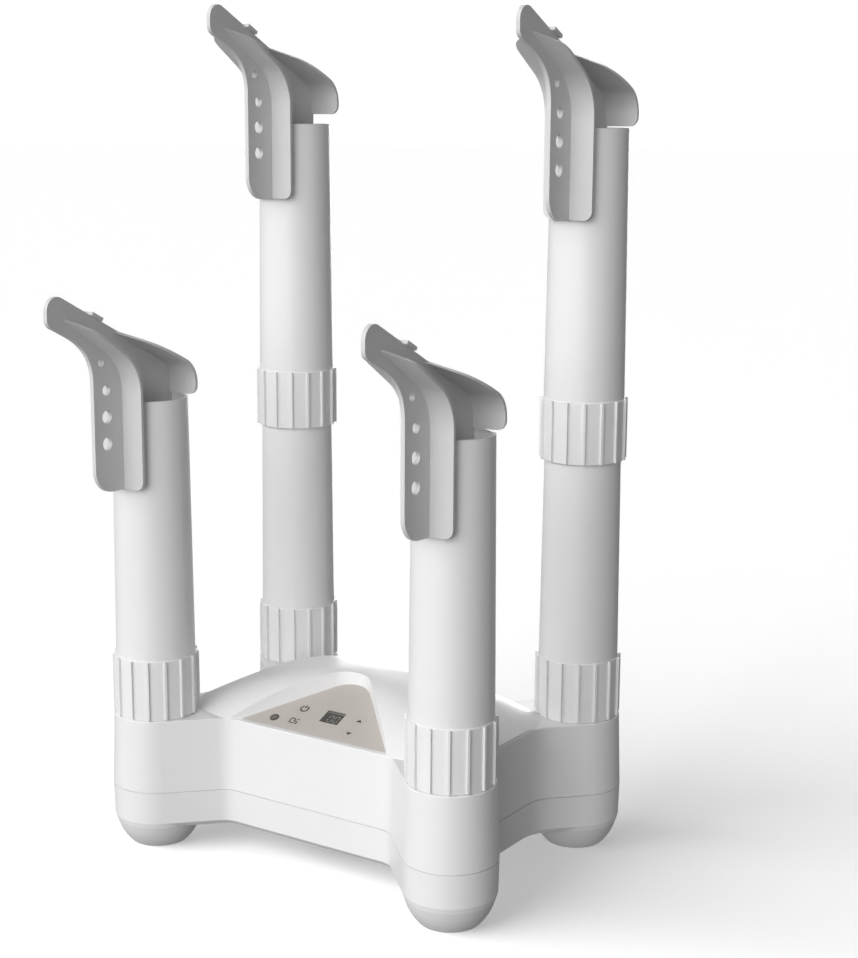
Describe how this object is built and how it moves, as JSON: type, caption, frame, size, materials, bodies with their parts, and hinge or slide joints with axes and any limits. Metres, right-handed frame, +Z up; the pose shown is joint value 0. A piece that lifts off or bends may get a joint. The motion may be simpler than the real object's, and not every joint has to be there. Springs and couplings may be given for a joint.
{
  "type": "boot dryer",
  "caption": "Free-standing warm-air dryer: fan and heater base with a sloping control panel, upright tubes, taller rear extension tubes and a swivelling boot support on each tube.",
  "frame": {"origin": "on the floor, under the middle of the whole object's bounding box", "axes": "+Z up along the tubes; -Y is the side of the control panel, towards which the supports' toes point; +X to the right seen from there"},
  "size_m": [0.2884, 0.2712, 0.5403],
  "materials": {
    "white_plastic": "satin moulded white",
    "support_plastic": "fine matt mid grey",
    "foot_rubber": "soft light grey",
    "panel_film": "printed beige-grey film",
    "key_film": "printed beige-grey film",
    "display_glass": "smoked clear",
    "display_plastic": "dark with pale segments",
    "lens_plastic": "dark smoked lens",
    "circuit_board": "solder mask green",
    "switch_plastic": "black",
    "screw_steel": "zinc plated",
    "fan_plastic": "black moulded",
    "motor_steel": "laminated steel",
    "heater_mica": "pale mica and ceramic",
    "heater_wire": "nichrome",
    "thermostat_metal": "plain",
    "fuse_ceramic": "ceramic",
    "inlet_plastic": "black moulded",
    "pin_brass": "nickel plated brass",
    "lead_rubber": "black sleeved"
  },
  "bodies": {
    "base": {"upper_housing": "white_plastic", "lower_housing": "white_plastic", "foot_front_left": "foot_rubber", "foot_front_right": "foot_rubber", "foot_rear_left": "foot_rubber", "foot_rear_right": "foot_rubber", "control_panel": "panel_film", "display_window": "display_glass", "display_module": "display_plastic", "status_lens": "lens_plastic", "control_board": "circuit_board", "key_switches": "switch_plastic", "board_screws": "screw_steel", "fan_screws": "screw_steel", "housing_screws": "screw_steel", "fan_housing": "fan_plastic", "fan_motor": "motor_steel", "heater_frame": "heater_mica", "heater_element": "heater_wire", "thermostat": "thermostat_metal", "thermal_fuse": "fuse_ceramic", "power_inlet": "inlet_plastic", "intake_grille": "inlet_plastic", "inlet_pins": "pin_brass", "mains_leads": "lead_rubber", "heater_leads": "lead_rubber"},
    "tube_front_left": {"tube_front_left": "white_plastic"},
    "tube_front_right": {"tube_front_right": "white_plastic"},
    "tube_rear_left": {"tube_rear_left": "white_plastic"},
    "tube_rear_right": {"tube_rear_right": "white_plastic"},
    "extension_left": {"extension_tube_left": "white_plastic"},
    "extension_right": {"extension_tube_right": "white_plastic"},
    "support_front_left": {"boot_support_front_left": "support_plastic"},
    "support_front_right": {"boot_support_front_right": "support_plastic"},
    "support_rear_left": {"boot_support_rear_left": "support_plastic"},
    "support_rear_right": {"boot_support_rear_right": "support_plastic"},
    "key_power": {"key_power": "key_film"},
    "key_timer": {"key_timer": "key_film"},
    "key_up": {"key_up": "key_film"},
    "key_down": {"key_down": "key_film"},
    "impeller": {"fan_impeller": "fan_plastic"}
  },
  "joints": [
    {"name": "tube_front_left_lift", "type": "slide", "parent": "base", "child": "tube_front_left", "axis": [0, 0, 1], "range_m": [0, 0.06]},
    {"name": "tube_front_right_lift", "type": "slide", "parent": "base", "child": "tube_front_right", "axis": [0, 0, 1], "range_m": [0, 0.06]},
    {"name": "tube_rear_left_lift", "type": "slide", "parent": "base", "child": "tube_rear_left", "axis": [0, 0, 1], "range_m": [0, 0.06]},
    {"name": "tube_rear_right_lift", "type": "slide", "parent": "base", "child": "tube_rear_right", "axis": [0, 0, 1], "range_m": [0, 0.06]},
    {"name": "extension_left_lift", "type": "slide", "parent": "tube_rear_left", "child": "extension_left", "axis": [0, 0, 1], "range_m": [0, 0.06]},
    {"name": "extension_right_lift", "type": "slide", "parent": "tube_rear_right", "child": "extension_right", "axis": [0, 0, 1], "range_m": [0, 0.06]},
    {"name": "support_front_left_swivel", "type": "hinge", "parent": "tube_front_left", "child": "support_front_left", "pos_m": [-0.11475, -0.0464, 0.29585], "axis": [0, 0, 1], "continuous": true},
    {"name": "support_front_right_swivel", "type": "hinge", "parent": "tube_front_right", "child": "support_front_right", "pos_m": [0.11475, -0.0464, 0.29585], "axis": [0, 0, 1], "continuous": true},
    {"name": "support_rear_left_swivel", "type": "hinge", "parent": "extension_left", "child": "support_rear_left", "pos_m": [-0.11475, 0.1062, 0.465], "axis": [0, 0, 1], "continuous": true},
    {"name": "support_rear_right_swivel", "type": "hinge", "parent": "extension_right", "child": "support_rear_right", "pos_m": [0.11475, 0.1062, 0.465], "axis": [0, 0, 1], "continuous": true},
    {"name": "key_power_press", "type": "slide", "parent": "base", "child": "key_power", "axis": [0, 0.3714, -0.9285], "range_m": [0, 0.0006], "stiffness_N_per_m": 800, "springref_m": -0.0004},
    {"name": "key_timer_press", "type": "slide", "parent": "base", "child": "key_timer", "axis": [0, 0.3714, -0.9285], "range_m": [0, 0.0006], "stiffness_N_per_m": 800, "springref_m": -0.0004},
    {"name": "key_up_press", "type": "slide", "parent": "base", "child": "key_up", "axis": [0, 0.3714, -0.9285], "range_m": [0, 0.0006], "stiffness_N_per_m": 800, "springref_m": -0.0004},
    {"name": "key_down_press", "type": "slide", "parent": "base", "child": "key_down", "axis": [0, 0.3714, -0.9285], "range_m": [0, 0.0006], "stiffness_N_per_m": 800, "springref_m": -0.0004},
    {"name": "fan_spin", "type": "hinge", "parent": "base", "child": "impeller", "pos_m": [0, 0.0299, 0.035], "axis": [0, 0, 1], "continuous": true}
  ]
}
